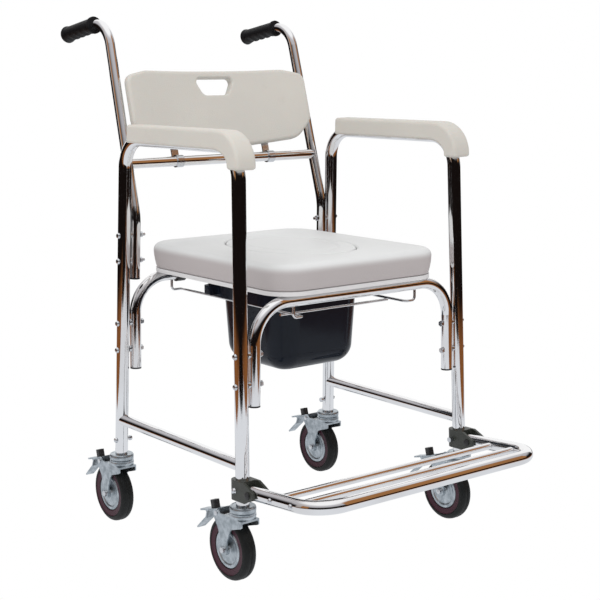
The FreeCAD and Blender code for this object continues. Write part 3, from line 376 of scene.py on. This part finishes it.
def makeSoftbox(name, spot, aim, size, power, colour=(1, 1, 1)):
    data = bpy.data.lights.new(name, "AREA")
    data.shape = "RECTANGLE"
    data.size, data.size_y = size
    data.energy = power
    data.color = colour
    lamp = bpy.data.objects.new(name, data)
    lamp.location = spot
    lamp.rotation_euler = (Vector(aim) - Vector(spot)).to_track_quat("-Z", "Y").to_euler()
    lamp.visible_glossy = False
    bpy.context.scene.collection.objects.link(lamp)

makeWorld()
makeFloor()
makeSoftbox("upper softbox", (-1.2, -0.6, 2.6), (0, 0, 0.5), (1.6, 1.6), 30)
makeSoftbox("right softbox", (2.2, -1.2, 1.6), (0, 0, 0.5), (1.4, 1.4), 10)
print("studio ready")

# mesh helpers

def gridMesh(name, grid, wrapRows=False, wrapColumns=True, poles=False, marks=None, crease=None):
    # a surface from a grid of points: rows run one way, columns the other
    # poles close the first and last row
    rows, columns = grid.shape[:2]
    points = grid.reshape(-1, 3)
    index = np.arange(rows * columns).reshape(rows, columns)
    right = np.roll(index, -1, 1)
    quads = np.stack([index, right, np.roll(right, -1, 0), np.roll(index, -1, 0)], -1)
    quads = quads[:rows if wrapRows else rows - 1, :columns if wrapColumns else columns - 1].reshape(-1, 4)
    triangles = np.zeros((0, 3), int)
    if poles:
        count = len(points)
        points = np.vstack([points, grid[0].mean(0), grid[-1].mean(0)])
        first = np.stack([np.full(columns, count), right[0], index[0]], -1)
        last = np.stack([np.full(columns, count + 1), index[-1], right[-1]], -1)
        triangles = np.vstack([first, last])
    halves = np.vstack([quads[:, :3], quads[:, [0, 2, 3]], triangles])
    a, b, c = points[halves[:, 0]], points[halves[:, 1]], points[halves[:, 2]]
    if np.einsum("ij,ij->i", a, np.cross(b, c)).sum() < 0:
        quads = quads[:, ::-1]
        triangles = triangles[:, ::-1]
    mesh = bpy.data.meshes.new(name)
    mesh.from_pydata(points.tolist(), [], quads.tolist() + triangles.tolist())
    mesh.shade_smooth()
    if crease:
        mesh.set_sharp_from_angle(angle=math.radians(crease))
    for key, values in (marks or {}).items():
        full = np.zeros(len(points))
        full[:rows * columns] = np.broadcast_to(values, (rows, columns)).ravel()
        mesh.attributes.new(key, "FLOAT", "POINT").data.foreach_set("value", full)
    return mesh

def addPiece(name, mesh, body, slotName, *stands):
    piece = bpy.data.objects.new(name, mesh)
    bpy.context.scene.collection.objects.link(piece)
    mesh.materials.append(finishes[slotName])
    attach(piece, body)
    if stands:
        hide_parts(*stands)
    return piece

def middleOf(node):
    low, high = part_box(node)
    return (np.array(low) + np.array(high)) / 2

def centredOn(grid, node):
    # moves a grid so that its box has the same middle as the node's
    flat = grid.reshape(-1, 3)
    return grid + middleOf(node) - (flat.min(0) + flat.max(0)) / 2

def roundedLoop(corners):
    # straight runs joined by arcs: corners are (x, y, radius), closed
    spots = np.array([c[:2] for c in corners], float)
    pieces = []
    for i, (_, _, radius) in enumerate(corners):
        at = spots[i]
        back = (spots[i - 1] - at) / np.linalg.norm(spots[i - 1] - at)
        ahead = spots[(i + 1) % len(corners)] - at
        ahead = ahead / np.linalg.norm(ahead)
        half = np.arccos(np.clip(back @ ahead, -1, 1)) / 2
        if radius <= 0 or half > 1.56:
            pieces.append(at[None])
            continue
        middle = at + (back + ahead) / np.linalg.norm(back + ahead) * radius / np.sin(half)
        start = at + back * radius / np.tan(half) - middle
        end = at + ahead * radius / np.tan(half) - middle
        sweep = np.arctan2(start[0] * end[1] - start[1] * end[0], start @ end)
        angle = np.arctan2(start[1], start[0]) + sweep * np.linspace(0, 1, 24)
        pieces.append(middle + radius * np.stack([np.cos(angle), np.sin(angle)], 1))
    return np.vstack(pieces)

def byAngle(loop, centre, count):
    # the loop's points at even angles about a centre
    away = np.vstack([loop, loop[:1]]) - centre
    dense = np.concatenate([np.linspace(a, b, 24, endpoint=False) for a, b in zip(away[:-1], away[1:])])
    angle = np.arctan2(dense[:, 1], dense[:, 0])
    order = np.argsort(angle)
    turns = np.linspace(-np.pi, np.pi, count, endpoint=False)
    reach = np.interp(turns, angle[order], np.hypot(*dense.T)[order], period=2 * np.pi)
    return centre + reach[:, None] * np.stack([np.cos(turns), np.sin(turns)], 1)

def outward(loop):
    # unit normals of a closed counter-clockwise loop
    along = np.roll(loop, -1, 0) - np.roll(loop, 1, 0)
    normal = np.stack([along[:, 1], -along[:, 0]], 1)
    normal = (normal + np.roll(normal, 1, 0) + np.roll(normal, -1, 0)) / 3
    return normal / np.linalg.norm(normal, axis=1, keepdims=True)

def slabGrid(outer, inner, share, outerInset, innerInset):
    # rows between two loops: share of the outer loop, pulled in by its inset, and the rest of the inner one
    rim = outer[None] - outward(outer)[None] * outerInset[:, None, None]
    core = inner[None] + (outward(inner)[None] if len(inner) > 1 else 0) * innerInset[:, None, None]
    return rim * share[:, None, None] + core * (1 - share[:, None, None])

def lathe(profile, count=64):
    # a turned shape about X: (x, r cos t, r sin t) for each profile point (r, x)
    angle = np.linspace(0, 2 * np.pi, count, endpoint=False)
    profile = np.array(profile, float)
    return np.stack([np.broadcast_to(profile[:, 1, None], (len(profile), count)),
                     profile[:, 0, None] * np.cos(angle), profile[:, 0, None] * np.sin(angle)], -1)

def eased(profile, radius=0.6, steps=4):
    # every corner of an open (r, x) profile rounded by a short quadratic curve
    profile = np.array(profile, float)
    out = [profile[:1]]
    t = np.linspace(0, 1, steps)[:, None]
    for before, at, after in zip(profile[:-2], profile[1:-1], profile[2:]):
        inward = (before - at) * min(1, radius / np.linalg.norm(before - at)) * 0.5
        onward = (after - at) * min(1, radius / np.linalg.norm(after - at)) * 0.5
        out.append((1 - t) ** 2 * (at + inward) + 2 * t * (1 - t) * at + t ** 2 * (at + onward))
    return np.vstack(out + [profile[-1:]])

def tilted(grid, axis, degrees):
    turn = np.array(Matrix.Rotation(math.radians(degrees), 3, axis))
    return grid @ turn.T

# backrest

backrest = dict(half=218.0, tall=80.0, thick=20.0, sag=23.0, edge=7.0, tilt=15.25, samples=320,
                holeEdge=4.0, holeMiddle=50.0,
                hole=[(50, 66, 9), (-50, 66, 9), (-30, 30, 16), (30, 30, 16)])

def makeBackrest():
    # an arched slab: loops round the hand hole and the rim
    # y = -sag (x / half)^2 plus the thickness profile
    b = backrest
    half, tall = b["half"], b["tall"]
    outline = roundedLoop([(half, tall - 12, 20), (half - 50, tall, 60), (0, tall + 0.5, 0),
                           (50 - half, tall, 60),
                           (-half, tall - 12, 20), (-half - 1, 48 - tall, 30), (36 - half, 12 - tall, 40),
                           (0, -tall - 0.5, 0), (half - 36, 12 - tall, 40), (half + 1, 48 - tall, 30)])
    hole = roundedLoop(b["hole"])
    centre = np.array([0.0, b["holeMiddle"]])
    outer = byAngle(outline, centre, b["samples"])
    inner = byAngle(hole, centre, b["samples"])
    turn = np.linspace(0, np.pi / 2, 7)
    edge = b["edge"]
    lift = b["thick"] / 2
    dip = edge * (1 - np.sin(turn))
    fall = lift - edge * (1 - np.cos(turn))
    spread = np.linspace(0, 1, 26)[1:-1]
    ones, zeros = np.ones(7), np.zeros(7)
    holeEdge = b["holeEdge"]
    holeDip = holeEdge * (1 - np.sin(turn))
    holeFall = lift - holeEdge * (1 - np.cos(turn))
    share = np.concatenate([zeros, spread, ones, ones, 1 - spread, zeros])
    rimInset = np.concatenate([zeros + edge, spread * 0 + edge, dip, dip[::-1], spread * 0 + edge,
                               zeros + edge])
    holeInset = np.concatenate([holeDip[::-1], spread * 0 + holeEdge, zeros + holeEdge, zeros + holeEdge,
                                spread * 0 + holeEdge, holeDip])
    depth = np.concatenate([holeFall[::-1], spread * 0 + lift, fall, -fall[::-1], spread * 0 - lift,
                            -holeFall])
    flat = slabGrid(outer, inner, share, rimInset, holeInset)
    x, z = flat[..., 0], flat[..., 1]
    y = -b["sag"] * (x / half) ** 2 - depth[:, None]
    grid = np.stack([x, y, z], -1) / 1000
    grid = centredOn(tilted(grid, "X", -b["tilt"]), "back_panel")
    mesh = gridMesh("moulded_backrest", grid, wrapRows=True)
    addPiece("moulded_backrest", mesh, "frame", "moulded_plastic", "back_panel")

makeBackrest()
print("backrest made")

# armrests

armrest = dict(width=44.0, draft=1.6, edge=6.0, lean=1.1, bendOuter=(62.0, 60.0), bendInner=(46.0, 26.0),
               length=358.0, drop=66.0, ends=5.0, depth=34.0, nose=30.0)

def armLine(height, ahead, bend, a):
    # from the rear along the arm, round the front bend and down: straight, quarter ellipse, straight
    angle = np.linspace(np.pi / 2, np.pi, 22)
    wide, tall = bend
    arc = np.stack([ahead + wide + wide * np.cos(angle), height - tall + tall * np.sin(angle)], 1)
    run = np.linspace([a["length"], height], arc[0], 30, endpoint=False)
    down = np.linspace(arc[-1], [ahead, a["ends"] - a["drop"]], 4)[1:]
    return np.vstack([run, arc, down])

def makeArmrest(label, side):
    # a rounded section whose top and foot follow two lines: P = inner + (outer - inner) h(s), x = w(s)
    a = armrest
    top = armLine(0.0, 0.0, a["bendOuter"], a)
    foot = armLine(-a["depth"], a["nose"], a["bendInner"], a)
    half = a["width"] / 2
    high = a["depth"]
    section = roundedLoop([(half, 0, 2.5), (half - a["draft"], high, a["edge"]),
                           (a["draft"] - half, high, a["edge"]), (-half, 0, 2.5)])
    section = byAngle(section, np.array([0.0, high / 2]), 72)
    wide, tall = section[:, 0], section[:, 1] / high
    turn = np.linspace(0, np.pi / 2, 7)
    ends = a["ends"]
    pull = np.concatenate([ends * (1 - np.sin(turn)), np.zeros(len(top) - 2), ends * (1 - np.cos(turn))])
    rows = np.concatenate([np.zeros(7, int), np.arange(1, len(top) - 1), np.full(7, len(top) - 1)])
    slide = np.zeros((len(rows), 2))
    slide[:7, 0] = -ends * (1 - np.cos(turn))
    slide[-7:, 1] = -ends * np.sin(turn)
    across = (top - foot)[rows]
    squeeze = 1 - 2 * pull / np.linalg.norm(across, axis=1)
    centre = ((top + foot) / 2)[rows] + slide
    plane = centre[:, None] + across[:, None] * (tall[None, :, None] - 0.5) * squeeze[:, None, None]
    x = wide[None] * (1 - pull[:, None] / half)
    grid = np.stack([x, plane[..., 0], plane[..., 1]], -1) / 1000
    grid = centredOn(tilted(grid, "Y", -side * a["lean"]), label + "_armrest_pad")
    mesh = gridMesh(label + "_arm_moulding", grid, poles=True)
    addPiece(label + "_arm_moulding", mesh, "frame", "moulded_plastic", label + "_armrest_pad")

for label, side in (("left", 1), ("right", -1)):
    makeArmrest(label, side)
print("armrests made")

# push grips

grip = dict(length=112.0, radius=15.2, fall=8.76, waves=4, depth=3.2)

def makeGrip(label):
    # r = radius, less a scallop sin^2 along the underside, weighted by how far down the point faces
    g = grip
    end = g["length"]
    body = np.linspace(7, end - 12, 90)
    along = np.concatenate([[0, 0, 1.2, 4.8, 6.0], body[1:], end - np.array([9, 6.5, 4, 2, 0.6, 0])])
    size = np.concatenate([[10.2, 16.2, 17.0, 17.0, 15.6], np.full(89, g["radius"]),
                           [15.6, 16.3, 16.9, 17.2, 16.7, 15.6]])
    angle = np.linspace(0, 2 * np.pi, 64, endpoint=False)
    under = np.clip(-np.sin(angle), 0, 1) ** 1.4
    run = np.clip((along - 14) / (end - 27), 0, 1)
    wave = np.sin(np.pi * g["waves"] * run) ** 2
    ribs = 0.35 * (np.sin(2 * np.pi * along / 4.0) > 0.2) * (run > 0) * (run < 1)
    radius = size[:, None] - g["depth"] * wave[:, None] * under[None]
    radius = radius - ribs[:, None] * np.clip(np.sin(angle), 0, 1)[None] ** 2
    grid = np.stack([radius * np.cos(angle), np.broadcast_to(along[:, None], radius.shape),
                     radius * np.sin(angle)], -1) / 1000
    grid = centredOn(tilted(grid, "X", -g["fall"]), label + "_grip")
    mesh = gridMesh(label + "_push_grip", grid, poles=True)
    addPiece(label + "_push_grip", mesh, "frame", "grip_rubber", label + "_grip")

for label in ("left", "right"):
    makeGrip(label)
print("grips made")

# seat

seat = dict(half=(196.0, 226.0), corner=60.0, top=14.0, foot=5.0, tuck=4.5, crown=2.0, oval=(112.0, 150.0),
            lip=5.0, samples=300, plugGap=1.6)

def ellipseLoop(half):
    # (a cos t, b sin t), closed
    turns = np.linspace(-np.pi, np.pi, 721)[:-1]
    return np.stack([half[0] * np.cos(turns), half[1] * np.sin(turns)], 1)

def makeSeatPad():
    # rings between the oval and the rim; height = top + crown sin(pi share)
    # the sides are tucked in towards the foot
    s = seat
    low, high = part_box("seat_pad")
    tall = (high[2] - low[2]) * 1000
    x, y = s["half"]
    outline = roundedLoop([(px, py, s["corner"]) for px, py in ((x, -y), (x, y), (-x, y), (-x, -y))])
    outer = byAngle(outline, np.zeros(2), s["samples"])
    inner = byAngle(ellipseLoop(s["oval"]), np.zeros(2), s["samples"])
    turn = np.linspace(0, np.pi / 2, 9)
    spread = np.linspace(0, 1, 16)[1:-1]
    lipTurn = s["lip"] * (1 - np.sin(turn))
    lipFall = s["lip"] * (1 - np.cos(turn))
    topInset = s["top"] * (1 - np.sin(turn))
    topFall = s["top"] * (1 - np.cos(turn))
    wall = np.linspace(0, 1, 9)[1:]
    wallFall = s["top"] + (tall - s["top"] - s["foot"]) * wall
    wallInset = s["tuck"] * wall ** 1.8
    footInset = s["tuck"] + s["foot"] * (1 - np.cos(turn[1:]))
    footFall = tall - s["foot"] + s["foot"] * np.sin(turn[1:])
    under = np.linspace(1, 0, 6)[1:-1]
    nine, gap = np.ones(9), np.ones(len(spread))
    share = np.concatenate([nine * 0, spread, nine, wall * 0 + 1, footInset * 0 + 1, under, [0.0]])
    rimInset = np.concatenate([nine * s["top"], gap * s["top"], topInset, wallInset, footInset,
                               under * 0 + s["tuck"] + s["foot"], [s["tuck"] + s["foot"]]])
    holeInset = np.concatenate([lipTurn[::-1], gap * s["lip"], nine * s["lip"], wall * 0, footInset * 0,
                                under * 0, [0.0]])
    fall = np.concatenate([lipFall[::-1], -s["crown"] * np.sin(np.pi * spread), topFall, wallFall, footFall,
                           under * 0 + tall, [tall]])
    flat = slabGrid(outer, inner, share, rimInset, holeInset)
    depth = np.broadcast_to(-fall[:, None], flat.shape[:2])
    grid = np.stack([flat[..., 0], flat[..., 1], depth], -1) / 1000
    middle = middleOf("seat_pad")
    grid = grid + np.array([middle[0], middle[1], high[2]])
    # the wall mark carries painted shade: it darkens the pad's side walls against its top
    wallShadeMark = np.clip((fall - 6) / 10, 0, 1) * (share > 0.99)
    mesh = gridMesh("moulded_seat", grid, wrapRows=True, marks={"wall": wallShadeMark[:, None]})
    pad = addPiece("moulded_seat", mesh, "seat", "seat_vinyl", "seat_pad")

def makeSeatPlug():
    # rings from a pole to the oval rim, with a shallow dished hand grip line near its edge
    s = seat
    low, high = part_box("seat_plug")
    tall = (high[2] - low[2]) * 1000
    half = (s["oval"][0] - s["plugGap"], s["oval"][1] - s["plugGap"])
    outer = byAngle(ellipseLoop(half), np.zeros(2), 200)
    turn = np.linspace(0, np.pi / 2, 9)
    spread = np.linspace(0, 1, 40)[1:-1]
    nine = np.ones(9)
    groove = 1.8 * np.exp(-((spread - 0.74) / 0.022) ** 2)
    share = np.concatenate([spread, nine, [1.0, 1.0], np.linspace(1, 0, 8)[1:-1]])
    inset = np.concatenate([spread * s["lip"], s["lip"] * (1 - np.sin(turn)), [0.0, 3.0], np.full(6, 3.0)])
    fall = np.concatenate([groove - s["crown"] * (1 - spread ** 2), s["lip"] * (1 - np.cos(turn)),
                           [tall - 3, tall], np.full(6, tall)])
    flat = slabGrid(outer, np.zeros((1, 2)), share, inset, inset * 0)
    depth = np.broadcast_to(-fall[:, None], flat.shape[:2])
    grid = np.stack([flat[..., 0], flat[..., 1], depth], -1) / 1000
    middle = middleOf("seat_plug")
    grid = grid + np.array([middle[0], middle[1], high[2] + 0.0006])
    # the lid's wall mark is zero, so no painted shade falls on it
    mesh = gridMesh("seat_lid", grid, poles=True, marks={"wall": 0.0})
    lid = addPiece("seat_lid", mesh, "plug", "seat_vinyl", "seat_plug")

makeSeatPad()
makeSeatPlug()
print("seat made")

# casters

# turned profiles as (radius, distance from the middle plane)
caster = dict(tyre=[(36.1, 10.6), (37.6, 11.8), (47.2, 12.4), (48.3, 13.7), (50.2, 13.7), (53.5, 12.8),
                    (56.6, 10.6), (58.4, 7.4), (59.0, 3.5), (58.75, 0.9), (58.2, 0.3)],
              hub=[(4.1, 16.4), (8.6, 16.4), (9.4, 15.6), (9.8, 12.6), (12.0, 11.0), (17.0, 10.2),
                   (27.0, 10.2), (30.0, 11.6), (33.6, 11.9), (35.4, 11.2), (36.0, 9.5)],
              bore=36.1, ringFrom=37.2, ringTo=47.9, ringSide=10.0)

def mirrored(profile):
    # the profile, then its other half in reverse
    return np.array(profile + [(radius, -x) for radius, x in profile[::-1]])

def makeCaster(label):
    # tyre and hub are turned profiles about the axle
    c = caster
    middle = middleOf(label + "_caster_tyre")
    curve = eased(mirrored(c["tyre"]), 2.4, 4)
    recess = (curve[:, 0] > c["ringFrom"]) & (curve[:, 0] < c["ringTo"])
    ring = (recess & (np.abs(curve[:, 1]) > c["ringSide"])).astype(float)
    closed = np.vstack([curve, [[c["bore"], 0.0]]])
    ring = np.append(ring, 0.0)
    mesh = gridMesh(label + "_tyre", lathe(closed, 96) / 1000 + middle, wrapRows=True,
                    marks={"ring": ring[:, None]})
    addPiece(label + "_tyre", mesh, label + "_wheel", "tyre_rubber", label + "_caster_tyre")
    disc = eased(mirrored(c["hub"]), 1.4, 4)
    grid = lathe(disc, 72) / 1000 + middleOf(label + "_caster_wheel")
    addPiece(label + "_hub", gridMesh(label + "_hub", grid, wrapRows=True, crease=50), label + "_wheel",
             "zinc_steel", label + "_caster_wheel")

swivel = dict(radius=23.9, bulge=3.4, split=135.0, gap=0.4, top=146.6, low=123.6)

def makeRaces(label):
    # two turned rings about the swivel axis: (r cos t, r sin t, z) round a bulged profile
    w = swivel
    spot = next(np.array(j["pos_m"]) for j in frame["joints"] if j["name"] == label + "_swivel")
    for name, body, foot, top in (("upper", "frame", w["split"] + w["gap"], w["top"]),
                                  ("lower", label + "_fork", w["low"], w["split"] - w["gap"])):
        turn = np.linspace(0, 2 * np.pi, 26, endpoint=False)
        half = (top - foot) / 2
        squash = np.sign(np.cos(turn)) * np.abs(np.cos(turn)) ** 0.8
        across = w["radius"] - w["bulge"] + w["bulge"] * squash
        profile = np.stack([across, foot + half + half * np.sin(turn)], 1)
        grid = lathe(profile, 56)[..., [2, 1, 0]] / 1000
        grid = grid + np.array([spot[0], spot[1], 0])
        addPiece(label + "_" + name + "_race", gridMesh(label + name, grid, wrapRows=True), body,
                 "zinc_steel")

for label in ("front_left", "front_right", "rear_left", "rear_right"):
    makeCaster(label)
    makeRaces(label)
print("casters made")
